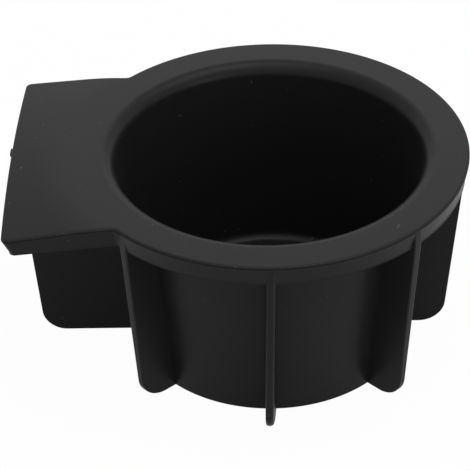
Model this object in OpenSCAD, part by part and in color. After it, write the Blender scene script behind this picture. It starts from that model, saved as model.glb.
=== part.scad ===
// Drop-in cup holder insert for a car console, moulded in one piece from black rubber.
// A tapered cup hangs from a flat flange. The flange carries a tab on one side, and
// thin fins under it centre the cup in its well. The part stands on the cup's base.
// Z runs up the cup's axis from the base. The tab points along -X.

/* [Cup] */
// Overall height, from the base to the top of the flange
cup_height = 58; // [50:0.5:70]
// Inside diameter of the wall at the level where the lip begins to roll outwards
mouth_d = 80.4; // [76:0.2:84]
// Inside diameter of the wall at the floor
floor_d = 69.2; // [60:0.2:72]
// Thickness of the wall
wall_t = 2.8; // [2:0.1:4]
// Thickness of the floor
floor_t = 3.5; // [2:0.1:5]
// Radius of the inside corner between wall and floor
floor_round_r = 2.5; // [1:0.1:5]
// Radius of the outside edge around the base
base_edge_r = 0.6; // [0.2:0.1:1.5]

/* [Flange] */
// Diameter of the flange at its top edge
flange_d = 104.4; // [101:0.2:112]
// Thickness of the flange
flange_t = 5.9; // [3.5:0.1:7]
// How far the flange's side leans in on its way down
flange_lean = 1.1; // [0:0.1:1.5]
// Radius of the flange's top outer edge
flange_edge_r = 0.6; // [0.2:0.1:1.5]
// Radius of the roll from the flat flange down into the cup
lip_r = 3.8; // [2:0.1:5.5]
// Radius of the inside corner between wall and flange underside
flange_root_r = 0.8; // [0.3:0.1:2]

/* [Tab] */
// Reach of the tab, from the cup's axis to the middle of its end
tab_reach = 67.5; // [60:0.5:80]
// Width of the tab where its sides leave the flange
tab_root_w = 70.6; // [50:0.2:74]
// Width of the tab at its end
tab_end_w = 74.6; // [50:0.2:78]
// Thickness of the tab at its end corners
tab_end_t = 4.9; // [3:0.1:6]
// Angle at which the tab slopes down, away from the flange
tab_slope = 7.5; // [1:0.5:10]
// Distance over which the top turns from level to that slope
tab_bend = 9; // [2:0.5:12]
// How far the middle of the end stands out in front of its corners
tab_end_bow = 0.2; // [0.1:0.1:3]
// How far the end leans in on its way down
tab_end_lean = 2; // [0:0.1:3]
// Radius of the end corners, seen from above
tab_corner_r = 1.6; // [0.5:0.1:5]

/* [Fins] */
// Number of fins around the cup, with the long one under the tab
fin_count = 8; // [4:1:12]
// Diameter over the fins at the base
fin_foot_d = 94.4; // [84:0.2:100]
// Thickness of a fin at the level of the flange's top
fin_top_t = 2.4; // [1.5:0.1:4]
// Thickness of a fin at the base
fin_foot_t = 2.1; // [1.2:0.1:4]
// Radius of a fin's bottom outer corner
fin_corner_r = 7; // [2:0.5:9]
// Depth of a fin's outer edge below the flange's top edge, seen from above
fin_inset = 0.5; // [0.1:0.1:0.6]
// Reach of the long fin at the base, from the cup's axis
tab_fin_foot = 62.7; // [54:0.1:64]
// Radius of the long fin's bottom outer corner
tab_fin_corner_r = 6.5; // [2:0.5:10]
// Distance of the long fin's top from the tab's end
tab_fin_inset = 1; // [0.3:0.1:3]

/* [Gate mark] */
// Width of the small moulding mark on the middle of the tab's end
gate_w = 2.6; // [2:0.2:6]
// Height of the mark
gate_h = 1.2; // [0.6:0.1:2]
// How far the mark stands out
gate_out = 0.4; // [0.2:0.05:1]
// Distance of the mark below the top of the tab's end
gate_drop = 0.4; // [0.2:0.1:1]
// Distance of the mark from the middle of the tab's end
gate_shift = 2.6; // [0:0.2:6]

/* [Hidden] */
$fn = 180;
arc_steps = 10;
overlap = 1;
tab_bury = 5;
post_fn = 32;
post_h = 0.01;
flange_r = flange_d / 2;
flange_under_z = cup_height - flange_t;

// The wall's draft, from the floor to the level of the lip's centre
lip_z = cup_height - lip_r;
draft = atan((mouth_d - floor_d) / 2 / (lip_z - floor_t));
lip_x = mouth_d / 2 + lip_r / cos(draft);

// The tab's top falls from the flange's edge. Its corner is farthest from the axis.
bend_r = tab_bend / sin(tab_slope);
bend_drop = bend_r * (1 - cos(tab_slope));
tab_corner_reach = norm([tab_reach, tab_end_w / 2]);
tab_limit = tab_corner_reach + 2 * overlap;
tab_root_x = sqrt(flange_r * flange_r - tab_root_w * tab_root_w / 4);
tab_flare = (tab_end_w - tab_root_w) / 2 / (tab_reach - tab_root_x);
tab_end_z = tab_top_z(tab_reach);

function inner_r(z) = floor_d / 2 + (z - floor_t) * tan(draft);
function outer_r(z) = inner_r(z) + wall_t / cos(draft);
function tab_top_z(r) = cup_height - bend_drop - (r - flange_r - tab_bend) * tan(tab_slope);

// Points of an arc from angle a0 to angle a1
function arc(x, z, r, a0, a1) =
    [for (i = [0 : arc_steps])
        let (a = a0 + (a1 - a0) * i / arc_steps)
        [x + r * cos(a), z + r * sin(a)]];

// Round corner between a level line at z0 and a line that leans out by angle lean from [x0, z0]
function foot_arc(x0, z0, r, lean) =
    arc(x0 + r * tan(lean) - r / cos(lean), z0 + r, r, -90, -lean);

// Cup and flange as one turned solid, still without the hollow
module turned_body() {
    root_z = flange_under_z - flange_root_r;
    rotate_extrude()
        polygon(concat(
            [[0, 0]],
            foot_arc(outer_r(0), 0, base_edge_r, draft),
            arc(outer_r(root_z) + flange_root_r / cos(draft), root_z, flange_root_r, 180 - draft, 90),
            [[flange_r - flange_lean, flange_under_z]],
            arc(flange_r - flange_edge_r, cup_height - flange_edge_r, flange_edge_r, 0, 90),
            [[0, cup_height]]
        ));
}

// The hollow of the cup: floor, drafted wall and the lip that rolls out onto the flange
module hollow() {
    rotate_extrude()
        polygon(concat(
            [[0, floor_t]],
            foot_arc(floor_d / 2, floor_t, floor_round_r, draft),
            arc(lip_x, lip_z, lip_r, 180 - draft, 90),
            [[lip_x, cup_height + overlap], [0, cup_height + overlap]]
        ));
}

// A sloping brim around the flange, wide enough to reach the tab's corners
module sloping_brim() {
    under_fall = (flange_under_z - tab_top_z(tab_corner_reach) + tab_end_t) / (tab_corner_reach - flange_r);
    rotate_extrude()
        polygon(concat(
            [[flange_r - tab_bury, flange_under_z], [flange_r - tab_bury, cup_height]],
            arc(flange_r, cup_height - bend_r, bend_r, 90, 90 - tab_slope),
            [
                [tab_limit, tab_top_z(tab_limit)],
                [tab_limit, flange_under_z - under_fall * (tab_limit - flange_r)],
                [flange_r, flange_under_z]
            ]
        ));
}

// Thin discs that outline the tab at height z, with its sides and end leaning in below the top
module tab_posts(z) {
    side_in = (cup_height - z) * flange_lean / flange_t;
    end_in = (tab_end_z - z) * tab_end_lean / tab_end_t;
    end_x = tab_reach - end_in - tab_corner_r;
    end_y = tab_end_w / 2 - side_in - tab_corner_r;
    root_x = tab_root_x - tab_bury;
    root_y = tab_root_w / 2 - tab_bury * tab_flare - side_in - tab_corner_r;
    for (side = [-1 : 0.5 : 1])
        translate([-end_x + tab_end_bow * side * side, side * end_y, z])
            cylinder(h = post_h, r = tab_corner_r, $fn = post_fn);
    for (side = [-1, 1])
        translate([-root_x, side * root_y, z])
            cylinder(h = post_h, r = tab_corner_r, $fn = post_fn);
}

// The tab: the part of the brim that lies inside the tab's outline
module tab() {
    intersection() {
        sloping_brim();
        hull() {
            tab_posts(cup_height + overlap);
            tab_posts(flange_under_z - 2 * flange_t);
        }
    }
}

// One fin along +X. Its outer edge leans out from the base to the flange, and it thins downwards.
module fin(foot_reach, top_reach, corner_r, top_z) {
    edge_lean = atan((top_reach - foot_reach) / flange_under_z);
    half_foot = fin_foot_t / 2;
    half_top = fin_top_t / 2;
    intersection() {
        rotate([90, 0, 0])
            linear_extrude(2 * fin_top_t + 2 * fin_foot_t, center = true)
                polygon(concat(
                    [[floor_d / 2, 0]],
                    foot_arc(foot_reach, 0, corner_r, edge_lean),
                    [[top_reach, flange_under_z], [top_reach, top_z], [floor_d / 2, top_z]]
                ));
        rotate([90, 0, 90])
            linear_extrude(2 * top_reach)
                polygon([[-half_foot, 0], [half_foot, 0], [half_top, cup_height], [-half_top, cup_height]]);
    }
}

// The short fins stand around the cup, starting next to the long fin under the tab
module fins() {
    for (i = [1 : fin_count - 1])
        rotate([0, 0, 180 + i * 360 / fin_count])
            fin(fin_foot_d / 2, flange_r - fin_inset, fin_corner_r, cup_height - flange_edge_r);
    rotate([0, 0, 180])
        fin(tab_fin_foot, tab_reach - tab_fin_inset, tab_fin_corner_r, tab_end_z - flange_edge_r);
}

// Small mark left by the mould's gate on the tab's end, a little beside its middle
module gate_mark() {
    translate([-tab_reach - gate_out, gate_shift - gate_w / 2, tab_end_z - gate_drop - gate_h])
        cube([gate_out + tab_end_lean + overlap, gate_w, gate_h]);
}

module cup_holder_insert() {
    color([0.17, 0.17, 0.18])
        difference() {
            union() {
                turned_body();
                tab();
                fins();
                gate_mark();
            }
            hollow();
        }
}

cup_holder_insert();
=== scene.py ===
import math

import bmesh
import bpy
from mathutils import Euler, Matrix, Vector


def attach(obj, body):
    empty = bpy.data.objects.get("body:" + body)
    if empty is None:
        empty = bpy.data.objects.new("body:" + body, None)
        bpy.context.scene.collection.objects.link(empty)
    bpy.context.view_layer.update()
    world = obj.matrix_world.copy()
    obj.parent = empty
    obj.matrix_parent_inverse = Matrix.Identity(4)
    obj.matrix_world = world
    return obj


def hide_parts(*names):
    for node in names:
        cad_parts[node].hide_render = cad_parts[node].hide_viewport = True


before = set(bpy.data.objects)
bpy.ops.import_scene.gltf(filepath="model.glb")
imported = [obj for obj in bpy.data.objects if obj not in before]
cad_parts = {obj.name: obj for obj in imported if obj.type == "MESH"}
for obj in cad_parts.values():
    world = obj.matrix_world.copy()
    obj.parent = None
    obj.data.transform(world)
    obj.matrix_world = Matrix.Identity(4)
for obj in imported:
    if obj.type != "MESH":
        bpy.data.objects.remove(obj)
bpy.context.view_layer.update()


# Cup, flange and tab. The real piece is moulded in one shot from soft black rubber. Its
# section is turned about the cup's axis, and the flange runs out into the tab on one side.
# All sizes are in millimetres, and the finished mesh is scaled to metres.
MM = 0.001

cup_height = 58
floor_t = 3.5
floor_r = 34.6
mouth_r = 40.2
wall_t = 2.8
floor_round_r = 2.5
base_edge_r = 0.6

flange_r = 52.2
flange_t = 5.9
flange_lean = 1.1
flange_edge_r = 0.6
flange_root_r = 0.8
lip_r = 3.8

# A fine parting line runs around below the flange's top edge, and a bead of flash at its foot
line_z = cup_height - flange_edge_r + 0.1
line_h = 0.3
line_depth = 0.2
flash_r = 0.18
flash_h = 0.5

under_z = cup_height - flange_t
lip_z = cup_height - lip_r
draft = math.atan((mouth_r - floor_r) / (lip_z - floor_t))


def inner_r(z):
    """Radius of the cup's inside at height z, on the straight part of its wall."""
    return floor_r + (z - floor_t) * math.tan(draft)


def outer_r(z):
    """Radius of the cup's outside at height z."""
    return inner_r(z) + wall_t / math.cos(draft)


def flange_side(z):
    """How far the flange's side has leaned in at height z."""
    return flange_lean * (cup_height - z) / flange_t


def round_corner(bm, vert, radius, steps):
    """Rounds one corner of a chain of edges with a true radius."""
    ways = [(edge.other_vert(vert).co - vert.co).normalized() for edge in vert.link_edges]
    turn = math.pi - ways[0].angle(ways[1])
    bmesh.ops.bevel(bm, geom=[vert], offset=radius * math.tan(turn / 2), offset_type="OFFSET",
                    affect="VERTICES", segments=steps, profile=0.5, material=-1)


# The rings of the flange between this radius and its edge are the ones that reach into the tab
tab_start_r = 46.5
tab_rings = 18

section = [
    (0, floor_t, 0, 0),
    (floor_r, floor_t, floor_round_r, 7),
    (inner_r(cup_height), cup_height, lip_r, 16),
    (tab_start_r, cup_height, 0, 0),
    (flange_r, cup_height, flange_edge_r, 5),
    (flange_r - flange_side(line_z), line_z, 0, 0),
    (flange_r - flange_side(line_z) - line_depth, line_z - line_h / 3, 0, 0),
    (flange_r - flange_side(line_z) - line_depth, line_z - line_h * 2 / 3, 0, 0),
    (flange_r - flange_side(line_z - line_h), line_z - line_h, 0, 0),
    (flange_r - flange_side(under_z + flash_h), under_z + flash_h, 0, 0),
    (flange_r - flange_lean + flash_r, under_z + flash_h * 0.6, 0, 0),
    (flange_r - flange_lean + flash_r, under_z + flash_h * 0.25, 0, 0),
    (flange_r - flange_lean - flash_r, under_z, 0, 0),
    (tab_start_r, under_z, 0, 0),
    (outer_r(under_z), under_z, flange_root_r, 4),
    (outer_r(0), 0, base_edge_r, 4),
    (0, 0, 0, 0),
]

cup = bmesh.new()
corners = [cup.verts.new((x, 0, z)) for x, z, _, _ in section]
for here, beyond in zip(corners, corners[1:]):
    cup.edges.new((here, beyond))
for corner, (_, _, radius, steps) in zip(corners, section):
    if radius:
        round_corner(cup, corner, radius, steps)
outward = [
    edge for edge in cup.edges
    if abs(min(v.co.x for v in edge.verts) - tab_start_r) < 0.001
]
bmesh.ops.subdivide_edges(cup, edges=outward, cuts=tab_rings)

turns = 360
bmesh.ops.spin(cup, geom=cup.verts[:] + cup.edges[:], cent=(0, 0, 0), axis=(0, 0, 1), dvec=(0, 0, 0),
               angle=2 * math.pi, steps=turns, use_merge=True)
bmesh.ops.remove_doubles(cup, verts=cup.verts[:], dist=0.001)

# The tab slopes down from the flange, thins towards its end, and flares a little
tab_reach = 67.5
tab_root_w = 70.6
tab_end_w = 74.6
tab_end_t = 4.9
tab_slope = math.radians(7.5)
tab_bend = 9
tab_end_bow = 0.2
tab_end_lean = 2
tab_corner_r = 1.6
junction_r = 1.8

bend_r = tab_bend / math.sin(tab_slope)
bend_drop = bend_r * (1 - math.cos(tab_slope))
corner_reach = math.hypot(tab_reach, tab_end_w / 2)
tab_root_x = math.sqrt(flange_r ** 2 - tab_root_w ** 2 / 4)
tab_flare = (tab_end_w - tab_root_w) / 2 / (tab_reach - tab_root_x)
side_way = Vector((1, -tab_flare)).normalized()
side_out = Vector((tab_flare, 1)).normalized()


def top_z(r):
    """Height of the flange's and the tab's top at radius r from the cup's axis."""
    if r <= flange_r:
        return cup_height
    if r <= flange_r + tab_bend:
        return cup_height - bend_r + math.sqrt(bend_r ** 2 - (r - flange_r) ** 2)
    return cup_height - bend_drop - (r - flange_r - tab_bend) * math.tan(tab_slope)


tab_end_z = top_z(tab_reach)
under_fall = (under_z - top_z(corner_reach) + tab_end_t) / (corner_reach - flange_r)


def thickness(r):
    """Thickness of the flange or the tab at radius r."""
    return top_z(r) - under_z + under_fall * max(0, r - flange_r)


end_steps = 22
corner_steps = 8
side_steps = 10
junction_steps = 3
tab_steps = end_steps + corner_steps + side_steps + junction_steps + 1


def tab_outline(step, z):
    """A point of the tab's outline and its outward normal at height z, seen from above. The
    steps go from the middle of the tab's end to the flange."""
    side_in = flange_side(z)
    end_in = tab_end_lean * (tab_end_z - z) / tab_end_t
    end_y = tab_end_w / 2 - side_in - tab_corner_r
    centre = Vector((-(tab_reach - end_in - tab_corner_r) + tab_end_bow, end_y))
    bow_out = Vector((-1, 2 * tab_end_bow / end_y)).normalized()
    if step <= end_steps:
        y = (end_y + tab_corner_r * bow_out.y) * step / end_steps
        bow = tab_end_bow * (y / end_y) ** 2
        return Vector((-(tab_reach - end_in) + bow, y)), Vector((-1, 2 * bow / max(y, 1))).normalized()
    step -= end_steps
    if step <= corner_steps:
        out = bow_out.slerp(side_out, step / corner_steps)
        return centre + tab_corner_r * out, out
    step -= corner_steps
    edge_r = flange_r - side_in
    corner_end = centre + tab_corner_r * side_out
    # The fillet's centre lies junction_r outside both the tab's side and the flange's edge
    base = corner_end + junction_r * side_out
    half = -base.dot(side_way)
    along = half - math.sqrt(half ** 2 - base.length_squared + (edge_r + junction_r) ** 2)
    hub = base + along * side_way
    if step <= side_steps:
        return corner_end + side_way * (along * step / side_steps), side_out
    step -= side_steps
    if step <= junction_steps:
        out = side_out.slerp(hub.normalized(), step / junction_steps)
        return hub - junction_r * out, out
    angle = math.radians(180 - tab_steps)
    out = Vector((math.cos(angle), math.sin(angle)))
    return edge_r * out, out


edge_start = {cup_height: flange_r - flange_edge_r, under_z: flange_r - flange_lean - flash_r}
for vert in cup.verts:
    r, z = math.hypot(vert.co.x, vert.co.y), vert.co.z
    step = round(math.degrees(math.atan2(vert.co.y, -vert.co.x)))
    if z < under_z - 0.01 or r < tab_start_r + 0.01 or abs(step) > tab_steps:
        continue
    side = -1 if step < 0 else 1
    depth = (cup_height - z) / flange_t
    inset = flange_r - flange_side(z) - r
    for level in edge_start:
        if abs(z - level) < 0.001:
            inset = min(inset, flange_r - flange_side(z) - edge_start[level])
    new_z = cup_height
    for _ in range(3):
        spot, out = tab_outline(abs(step), new_z)
        spot = Vector((spot.x, side * spot.y)) - inset * Vector((out.x, side * out.y))
        new_z = top_z(spot.length) - depth * thickness(spot.length)
    for level, edge_r in edge_start.items():
        if abs(z - level) < 0.001 and r < edge_r:
            share = (r - tab_start_r) / (edge_r - tab_start_r)
            inner = Vector((vert.co.x, vert.co.y)) * tab_start_r / r
            spot = inner.lerp(spot, share)
            new_z = top_z(spot.length) - depth * thickness(spot.length)
    vert.co = (spot.x, spot.y, new_z)

bmesh.ops.recalc_face_normals(cup, faces=cup.faces[:])
cup_mesh = bpy.data.meshes.new("cup_flange_tab")
cup.to_mesh(cup_mesh)
cup.free()
moulding = bpy.data.objects.new("rubber_insert", cup_mesh)
bpy.context.scene.collection.objects.link(moulding)


# Fins. Eight thin blades of the same rubber stand out from the cup and hold it central in
# its well. They thin downwards and have round edges, the front one's rounder. They are soft,
# so each of those in sight leans or bends a little, and stands a little in or out.
fin_top_t = 2.4
fin_foot_t = 2.1
fin_foot_r = 47.2
fin_inset = 0.5
fin_corner_r = 7
tab_fin_foot = 62.7
tab_fin_inset = 1
tab_fin_corner_r = 6.5
fin_edge_r = 0.35
front_fin = 2
front_fin_edge_r = 0.8
fin_lift = 0.02
fin_count = 8
fin_corner_steps = 12

# Each blade is sunk into the cup's wall, up to the crook where the wall meets the flange
fin_depth = 1.4
fin_crook_z = 53.5

# By the fin's number: how far its foot leans sideways, how far its outer edge bends sideways
# there, how far the whole edge stands out, and how far the fin is turned about the cup's axis
fin_bends = {
    0: (1.4, 0, -0.25, 0),
    1: (-0.2, -1, -0.1, 0),
    2: (0, -1.1, 0.25, math.radians(0.3)),
    3: (0, 0.2, 0.35, 0),
    4: (0.4, 0, -0.1, 0),
}


def make_fin(bm, number, foot, top, corner, top_edge):
    """Adds one fin, counted from the tab, with its own lean, bend, stand and turn."""
    lean, bend, stand, twist = fin_bends.get(number, (0, 0, 0, 0))
    turn = math.pi + number * 2 * math.pi / fin_count + twist
    foot += stand
    top += stand
    edge_r = front_fin_edge_r if number == front_fin else fin_edge_r
    outline = [
        (outer_r(0) - fin_depth, fin_lift), (foot, fin_lift), (top, under_z), (top, top_edge),
        (tab_start_r - 0.5, top_edge), (outer_r(fin_crook_z) - fin_depth, fin_crook_z),
    ]
    blade = bmesh.new()
    points = [blade.verts.new((x, -1, z)) for x, z in outline]
    blade.faces.new(points)
    round_corner(blade, points[1], corner, fin_corner_steps)
    made = bmesh.ops.extrude_face_region(blade, geom=blade.faces[:])
    far_side = [part for part in made["geom"] if isinstance(part, bmesh.types.BMVert)]
    bmesh.ops.translate(blade, vec=(0, 2, 0), verts=far_side)
    bmesh.ops.recalc_face_normals(blade, faces=blade.faces[:])

    # The rounded edges run along the foot, around its corner and up the outside
    rim = []
    for edge in blade.edges:
        ends = [vert.co for vert in edge.verts]
        along_foot = max(end.z for end in ends) < fin_lift + 0.01
        clear_of_cup = min(end.x - outer_r(end.z) for end in ends) > 2
        past_corner = max(end.x for end in ends) > foot - corner - 0.01
        on_top = min(end.z for end in ends) > top_edge - 0.01
        if abs(ends[0].y - ends[1].y) < 0.01 and (along_foot or clear_of_cup and past_corner and not on_top):
            rim.append(edge)
    bmesh.ops.bevel(blade, geom=rim, offset=edge_r, offset_type="OFFSET", affect="EDGES", segments=4,
                    profile=0.5, material=-1, clamp_overlap=True)
    for vert in blade.verts:
        half = (fin_foot_t + (fin_top_t - fin_foot_t) * vert.co.z / cup_height) / 2
        out = max(0, (vert.co.x - outer_r(vert.co.z)) / (foot - outer_r(0)))
        vert.co.y = vert.co.y * half + (lean + bend * out) * (1 - vert.co.z / under_z)
    bmesh.ops.rotate(blade, verts=blade.verts[:], cent=(0, 0, 0), matrix=Matrix.Rotation(turn, 3, "Z"))
    single = bpy.data.meshes.new("fin")
    blade.to_mesh(single)
    blade.free()
    bm.from_mesh(single)
    bpy.data.meshes.remove(single)


fins = bmesh.new()
for i in range(1, fin_count):
    make_fin(fins, i, fin_foot_r, flange_r - fin_inset, fin_corner_r,
             cup_height - flange_edge_r)
make_fin(fins, 0, tab_fin_foot, tab_reach - tab_fin_inset, tab_fin_corner_r,
         tab_end_z - flange_edge_r)
fins_mesh = bpy.data.meshes.new("fins")
fins.to_mesh(fins_mesh)
fins.free()


# Gate mark. A small nub of rubber is left on the tab's end, a little beside its middle,
# where the mould was filled.
gate_w = 2.6
gate_h = 1.2
gate_out = 0.4
gate_drop = 0.4
gate_shift = 2.6
gate_edge_r = 0.3

gate_sink = tab_end_lean + 1

gate = bmesh.new()
bmesh.ops.create_cube(gate, size=1)
gate_l = gate_out + gate_sink
bmesh.ops.scale(gate, vec=(gate_l, gate_w, gate_h), verts=gate.verts[:])
bmesh.ops.bevel(gate, geom=gate.edges[:], offset=gate_edge_r, offset_type="OFFSET", affect="EDGES",
                segments=3, profile=0.5, material=-1)
gate_middle = (-tab_reach - gate_out + gate_l / 2, gate_shift, tab_end_z - gate_drop - gate_h / 2)
bmesh.ops.translate(gate, vec=gate_middle, verts=gate.verts[:])
gate_mesh = bpy.data.meshes.new("gate")
gate.to_mesh(gate_mesh)
gate.free()


# The finished moulding. Fins and gate mark are grown into the cup, because the real piece
# is one body of rubber.
def grow_on(body, mesh):
    """Joins a mesh to the body as one closed surface."""
    tool = bpy.data.objects.new("tool", mesh)
    bpy.context.scene.collection.objects.link(tool)
    join = body.modifiers.new("join", "BOOLEAN")
    join.operation = "UNION"
    join.solver = "EXACT"
    join.object = tool
    bpy.context.view_layer.update()
    depsgraph = bpy.context.evaluated_depsgraph_get()
    joined = bpy.data.meshes.new_from_object(body.evaluated_get(depsgraph))
    body.modifiers.clear()
    body.data = joined
    bpy.data.objects.remove(tool)


grow_on(moulding, fins_mesh)
grow_on(moulding, gate_mesh)
whole = bmesh.new()
whole.from_mesh(moulding.data)
bmesh.ops.remove_doubles(whole, verts=whole.verts[:], dist=0.0005)
bmesh.ops.scale(whole, vec=(MM, MM, MM), verts=whole.verts[:])
whole.to_mesh(moulding.data)
whole.free()
moulding.data.shade_smooth()
moulding.data.set_sharp_from_angle(angle=math.radians(35))
firm = moulding.modifiers.new("flat faces stay flat", "WEIGHTED_NORMAL")
firm.keep_sharp = True

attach(moulding, "root")
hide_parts("cup_holder_insert")


# Rubber. Matte black, with the fine even grain of the mould, edges a little lighter, partly as rubbed wear
# and partly as a painted highlight, and a few specks of dust. Each of these three effects is a node group.
def new_group(name, inputs, outputs):
    """A shader node group with named float or vector inputs and named outputs."""
    tree = bpy.data.node_groups.new(name, "ShaderNodeTree")
    for label, value in inputs.items():
        kind = "NodeSocketVector" if value is None else "NodeSocketFloat"
        socket = tree.interface.new_socket(label, in_out="INPUT", socket_type=kind)
        if value is not None:
            socket.default_value = value
    for label in outputs:
        tree.interface.new_socket(label, in_out="OUTPUT", socket_type="NodeSocketFloat")
    return tree, tree.nodes.new("NodeGroupInput").outputs, tree.nodes.new("NodeGroupOutput").inputs


def feed(tree, socket, value):
    """Links an output to the socket, or sets the socket to a number."""
    if isinstance(value, (int, float)):
        socket.default_value = value
    else:
        tree.links.new(value, socket)


def noise_value(tree, vector, scale, detail):
    """The value of a noise of the given scale."""
    noise = tree.nodes.new("ShaderNodeTexNoise")
    feed(tree, noise.inputs["Vector"], vector)
    feed(tree, noise.inputs["Scale"], scale)
    feed(tree, noise.inputs["Detail"], detail)
    return noise.outputs["Fac"]


def ramp(tree, value, low, high, to_low, to_high):
    """The value mapped from one range to another, held at its ends."""
    node = tree.nodes.new("ShaderNodeMapRange")
    ends = {"From Min": low, "From Max": high, "To Min": to_low, "To Max": to_high}
    feed(tree, node.inputs["Value"], value)
    for label, end in ends.items():
        feed(tree, node.inputs[label], end)
    return node.outputs["Result"]


def math_node(tree, operation, first, second):
    """The result of a calculation with two sockets or numbers."""
    node = tree.nodes.new("ShaderNodeMath")
    node.operation = operation
    feed(tree, node.inputs[0], first)
    feed(tree, node.inputs[1], second)
    return node.outputs[0]


# Fine grain for the bump, and slow changes of gloss and tone over a few centimetres
grain, given, result = new_group(
    "Mould grain",
    {"Position": None, "Scale": 2600, "Roughness": 0.35, "Spread": 0.06},
    ["Height", "Roughness", "Tone"])
fine = noise_value(grain, given["Position"], given["Scale"], 2)
broad = noise_value(grain, given["Position"], 70, 3)
change = math_node(grain, "MULTIPLY", math_node(grain, "SUBTRACT", broad, 0.5), given["Spread"])
feed(grain, result["Height"], fine)
feed(grain, result["Roughness"], math_node(grain, "ADD", given["Roughness"], change))
feed(grain, result["Tone"], noise_value(grain, given["Position"], 40, 2))

# Edges are found by comparing the surface's own direction with one that is blurred over Width.
# Outer and hollow edges alike are painted lighter, partly as rubbed wear and partly as a painted highlight
edge_wear_and_highlight, given, result = new_group(
    "Rubbed edges", {"Position": None, "Width": 0.0004, "Amount": 0.6}, ["Rubbed"])
blurred = edge_wear_and_highlight.nodes.new("ShaderNodeBevel")
blurred.samples = 6
feed(edge_wear_and_highlight, blurred.inputs["Radius"], given["Width"])
surface = edge_wear_and_highlight.nodes.new("ShaderNodeNewGeometry")
likeness = edge_wear_and_highlight.nodes.new("ShaderNodeVectorMath")
likeness.operation = "DOT_PRODUCT"
feed(edge_wear_and_highlight, likeness.inputs[0], blurred.outputs["Normal"])
feed(edge_wear_and_highlight, likeness.inputs[1], surface.outputs["Normal"])
edge_share = ramp(edge_wear_and_highlight, likeness.outputs["Value"], 1, 0.93, 0, 1)
patches = ramp(edge_wear_and_highlight, noise_value(edge_wear_and_highlight, given["Position"], 500, 2), 0.35, 0.65, 0.3, 1)
wear_and_highlight_share = math_node(edge_wear_and_highlight, "MULTIPLY", math_node(edge_wear_and_highlight, "MULTIPLY", edge_share, patches), given["Amount"])
feed(edge_wear_and_highlight, result["Rubbed"], wear_and_highlight_share)

# Specks lie around the points of a loose grid, where those points happen to be on the surface
dust, given, result = new_group(
    "Dust", {"Position": None, "Spacing": 0.004, "Size": 0.00036, "On sides": 0.5}, ["Cover"])
cells = dust.nodes.new("ShaderNodeTexVoronoi")
feed(dust, cells.inputs["Vector"], given["Position"])
feed(dust, cells.inputs["Scale"], math_node(dust, "DIVIDE", 1, given["Spacing"]))
channels = dust.nodes.new("ShaderNodeSeparateColor")
feed(dust, channels.inputs["Color"], cells.outputs["Color"])
speck_r = math_node(dust, "MULTIPLY", math_node(dust, "DIVIDE", given["Size"], given["Spacing"]),
                    ramp(dust, channels.outputs["Red"], 0, 1, 0.4, 1.2))
uneven = ramp(dust, noise_value(dust, given["Position"], 3000, 1), 0.3, 0.7, 0.6, 1.3)
ragged = math_node(dust, "MULTIPLY", speck_r, uneven)
speck = ramp(dust, cells.outputs["Distance"], math_node(dust, "MULTIPLY", ragged, 0.6), ragged, 1, 0)
facing = dust.nodes.new("ShaderNodeNewGeometry")
upward = dust.nodes.new("ShaderNodeSeparateXYZ")
feed(dust, upward.inputs[0], facing.outputs["Normal"])
lying = ramp(dust, upward.outputs["Z"], 0, 0.9, given["On sides"], 1)
feed(dust, result["Cover"], math_node(dust, "MULTIPLY", speck, lying))

rubber = bpy.data.materials.new("matte black rubber")
rubber.use_nodes = True
tree = rubber.node_tree
shader = tree.nodes["Principled BSDF"]
shader.inputs["Specular IOR Level"].default_value = 0.104
where = tree.nodes.new("ShaderNodeTexCoord")


def effect(group):
    """A use of a node group on the rubber, at the object's own coordinates."""
    node = tree.nodes.new("ShaderNodeGroup")
    node.node_tree = group
    feed(tree, node.inputs["Position"], where.outputs["Object"])
    return node.outputs


def blend(share, first, second):
    """A mix of two colours, each given as numbers or as a socket."""
    mix = tree.nodes.new("ShaderNodeMix")
    mix.data_type = "RGBA"
    feed(tree, mix.inputs["Factor"], share)
    for socket, colour in zip([s for s in mix.inputs if s.type == "RGBA"], (first, second)):
        if isinstance(colour, tuple):
            socket.default_value = (*colour, 1)
        else:
            tree.links.new(colour, socket)
    return [s for s in mix.outputs if s.type == "RGBA"][0]


black = (0.0112, 0.0109, 0.0119)
greyer = (0.0124, 0.0122, 0.0126)
# Lighter grey for the edges: partly rubbed wear, partly a painted highlight
wear_and_highlight_grey = (0.02, 0.02, 0.021)
dust_grey = (0.075, 0.074, 0.07)

moulded, edges, specks = effect(grain), effect(edge_wear_and_highlight), effect(dust)
colour = blend(moulded["Tone"], black, greyer)
# Edges painted lighter, partly as rubbed wear and partly as a painted highlight
colour = blend(edges["Rubbed"], colour, wear_and_highlight_grey)
colour = blend(specks["Cover"], colour, dust_grey)
feed(tree, shader.inputs["Base Color"], colour)
dust_roughness = 0.3
dusty = math_node(tree, "MULTIPLY", specks["Cover"], dust_roughness)
feed(tree, shader.inputs["Roughness"], math_node(tree, "ADD", moulded["Roughness"], dusty))
bump = tree.nodes.new("ShaderNodeBump")
bump.inputs["Strength"].default_value = 0.25
bump.inputs["Distance"].default_value = 0.00006
feed(tree, bump.inputs["Height"], moulded["Height"])
feed(tree, shader.inputs["Normal"], bump.outputs["Normal"])
moulding.data.materials.clear()
moulding.data.materials.append(rubber)


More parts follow.
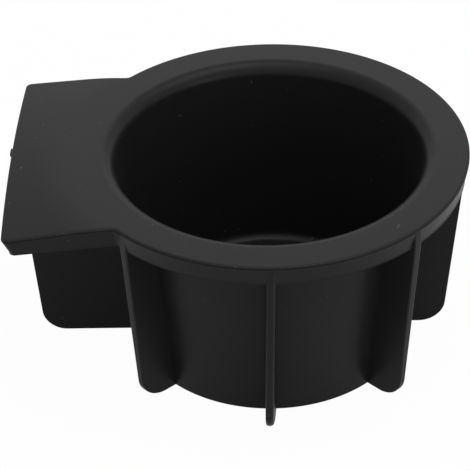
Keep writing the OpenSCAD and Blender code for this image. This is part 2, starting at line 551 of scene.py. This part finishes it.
# Studio. A pale floor that the camera sees as white with a faint shadow, a white surround,
# and five soft boxes: two from above, one high in front, one behind and one low in front.
floor_half = 4
floor_lift = 0.97
floor_in_gloss = 0.4
floor_mesh = bpy.data.meshes.new("floor")
floor = bmesh.new()
bmesh.ops.create_grid(floor, x_segments=1, y_segments=1, size=floor_half)
floor.to_mesh(floor_mesh)
floor.free()
floor = bpy.data.objects.new("floor", floor_mesh)
bpy.context.scene.collection.objects.link(floor)
pale = bpy.data.materials.new("pale floor")
pale.use_nodes = True
tree = pale.node_tree
paint = tree.nodes["Principled BSDF"]
paint.inputs["Base Color"].default_value = (0.8, 0.8, 0.8, 1)
paint.inputs["Roughness"].default_value = 0.9
paint.inputs["Specular IOR Level"].default_value = 0.1
glow = tree.nodes.new("ShaderNodeEmission")
lift = tree.nodes.new("ShaderNodeMixShader")
seen = tree.nodes.new("ShaderNodeLightPath").outputs
share = math_node(tree, "MAXIMUM", math_node(tree, "MULTIPLY", seen["Is Camera Ray"], floor_lift),
                  math_node(tree, "MULTIPLY", seen["Is Glossy Ray"], floor_in_gloss))
feed(tree, lift.inputs[0], share)
feed(tree, lift.inputs[1], paint.outputs[0])
feed(tree, lift.inputs[2], glow.outputs[0])
feed(tree, tree.nodes["Material Output"].inputs["Surface"], lift.outputs[0])
floor_mesh.materials.append(pale)

# The surround is white to the eye and in reflections, and lights the object at about half of that
surround_light = 0.55
world = bpy.data.worlds.new("studio")
bpy.context.scene.world = world
world.use_nodes = True
tree = world.node_tree
backdrop = tree.nodes["Background"]
backdrop.inputs["Color"].default_value = (1, 1, 1, 1)
seen = tree.nodes.new("ShaderNodeLightPath").outputs
shown = math_node(tree, "MAXIMUM", seen["Is Camera Ray"], seen["Is Glossy Ray"])
shown = math_node(tree, "MAXIMUM", shown, seen["Is Transmission Ray"])
feed(tree, backdrop.inputs["Strength"], ramp(tree, shown, 0, 1, surround_light, 1))

middle = Vector((0, 0, 0.03))
lamp_distance = 1.5


def soft_lamp(name, azimuth, elevation, size, power):
    """A square soft box, size metres wide and of power watts, that looks at the object. Azimuth 0
    is to the object's right and 90 behind it. Both angles are in degrees."""
    lamp = bpy.data.lights.new(name, "AREA")
    lamp.shape = "SQUARE"
    lamp.size = size
    lamp.energy = power
    holder = bpy.data.objects.new(name, lamp)
    bpy.context.scene.collection.objects.link(holder)
    around, up = math.radians(azimuth), math.radians(elevation)
    towards = Vector((math.cos(around) * math.cos(up), math.sin(around) * math.cos(up), math.sin(up)))
    holder.location = middle + lamp_distance * towards
    holder.rotation_euler = towards.to_track_quat("Z", "Y").to_euler()


soft_lamp("overhead lamp", azimuth=0, elevation=90, size=0.8, power=3.9)
soft_lamp("high right lamp", azimuth=0, elevation=65, size=0.9, power=5.5)
soft_lamp("high front lamp", azimuth=270, elevation=65, size=0.9, power=2.1)
soft_lamp("back lamp", azimuth=90, elevation=38, size=0.8, power=1.5)
soft_lamp("low front right lamp", azimuth=315, elevation=12, size=0.6, power=2.6)


# Camera. A long lens at the place from which the outline agrees with the photograph's, turned
# by a small roll.
camera = bpy.data.cameras.new("camera")
camera.sensor_width = 36
camera.lens = 159.2
camera.clip_start = 0.01
camera.clip_end = 20
eye = bpy.data.objects.new("camera", camera)
bpy.context.scene.collection.objects.link(eye)
place = Vector((0.002146, -0.449688, 0.360024))
aim = Vector((-0.009424, 0, 0.029755))
roll = math.radians(-1.627)
eye.rotation_mode = "QUATERNION"
eye.location = place
eye.rotation_quaternion = (aim - place).to_track_quat("-Z", "Y") @ Euler((0, 0, roll)).to_quaternion()
bpy.context.scene.camera = eye
bpy.context.scene.view_settings.view_transform = "Standard"
